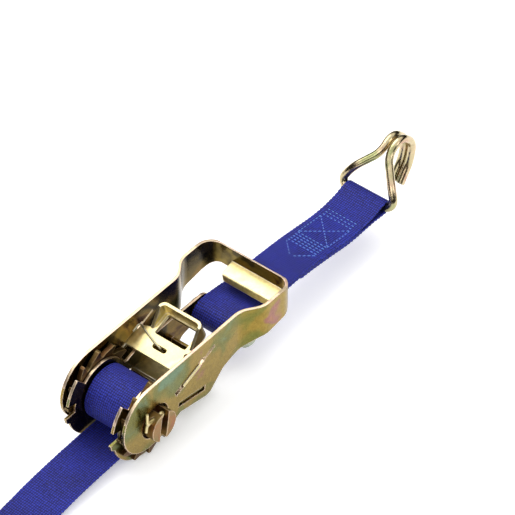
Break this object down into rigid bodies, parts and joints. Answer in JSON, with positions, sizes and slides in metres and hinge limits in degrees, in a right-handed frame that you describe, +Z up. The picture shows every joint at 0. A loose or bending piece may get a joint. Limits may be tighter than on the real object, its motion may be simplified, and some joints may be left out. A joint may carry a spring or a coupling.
{
  "type": "ratchet tie down",
  "caption": "Webbing ratchet tie down: lever and pawl buckle, slotted spool, short and long straps with double wire hooks.",
  "frame": {"origin": "on the ground, at the centre of the whole part's footprint", "axes": "+X along the straps, from the stowed roll past the spool to the short strap's hook; +Y along the spool; +Z up"},
  "size_m": [0.4991, 0.054, 0.0961],
  "materials": {
    "zinc_plate_frame": "yellow chromate zinc on pressed steel",
    "zinc_plate_pawl": "bright yellow chromate zinc on pressed steel",
    "zinc_plate_handle": "yellow chromate zinc on pressed steel, iridescent",
    "zinc_plate_mandrel": "yellow chromate zinc on turned steel",
    "zinc_plate_wheel": "yellow chromate zinc on blanked steel",
    "zinc_grey_fastener": "dull clear zinc",
    "zinc_wire": "yellow chromate zinc on wire",
    "zinc_wire_hook": "yellow chromate zinc on bent wire",
    "spring_wire": "drawn spring wire",
    "webbing": "woven polyester webbing, royal blue"
  },
  "bodies": {
    "frame": {"frame": "zinc_plate_frame", "frame_pawl_spring": "spring_wire", "strap_bolt": "zinc_grey_fastener", "strap_bolt_nut": "zinc_grey_fastener", "bolt_sleeve": "zinc_grey_fastener", "strap_run": "webbing", "stowed_roll": "webbing", "end_strap": "webbing"},
    "frame_pawl": {"frame_pawl": "zinc_plate_pawl"},
    "handle": {"handle": "zinc_plate_handle"},
    "handle_pawl": {"handle_pawl": "zinc_plate_pawl", "handle_pawl_spring": "spring_wire"},
    "spool": {"mandrel_half_front": "zinc_plate_mandrel", "mandrel_half_rear": "zinc_plate_mandrel", "ratchet_wheel_near": "zinc_plate_wheel", "ratchet_wheel_far": "zinc_plate_wheel", "cotter_pin_near": "zinc_wire", "cotter_pin_far": "zinc_wire", "wound_strap": "webbing"},
    "short_strap": {"fixed_strap": "webbing"},
    "short_strap_hook": {"double_j_hook": "zinc_wire_hook"},
    "long_strap_hook": {"end_hook": "zinc_wire_hook"}
  },
  "joints": [
    {"name": "handle_swing", "type": "hinge", "parent": "frame", "child": "handle", "pos_m": [0.02265, 0, 0.024], "axis": [0, -1, 0], "range_deg": [0, 150]},
    {"name": "handle_pawl_slide", "type": "slide", "parent": "handle", "child": "handle_pawl", "axis": [0.9397, 0, 0.342], "range_m": [-0.0054, 0.004], "stiffness_N_per_m": 400},
    {"name": "spool_spin", "type": "hinge", "parent": "frame", "child": "spool", "pos_m": [0.02265, 0, 0.024], "axis": [0, -1, 0], "continuous": true},
    {"name": "frame_pawl_slide", "type": "slide", "parent": "frame", "child": "frame_pawl", "axis": [0.9848, 0, -0.1736], "range_m": [-0.0032, 0.004], "stiffness_N_per_m": 400, "deforming": ["frame_pawl_spring"]},
    {"name": "short_strap_swing", "type": "hinge", "parent": "frame", "child": "short_strap", "pos_m": [0.09565, 0, 0.0225], "axis": [0, -1, 0], "range_deg": [-40, 2]},
    {"name": "short_hook_swing", "type": "hinge", "parent": "short_strap", "child": "short_strap_hook", "pos_m": [0.21265, 0, 0.0213], "axis": [0, -1, 0], "range_deg": [-80, 66]},
    {"name": "long_hook_swing", "type": "hinge", "parent": "frame", "child": "long_strap_hook", "pos_m": [-0.215, 0, 0.00405], "axis": [0, 1, 0], "range_deg": [-30, 30]}
  ]
}
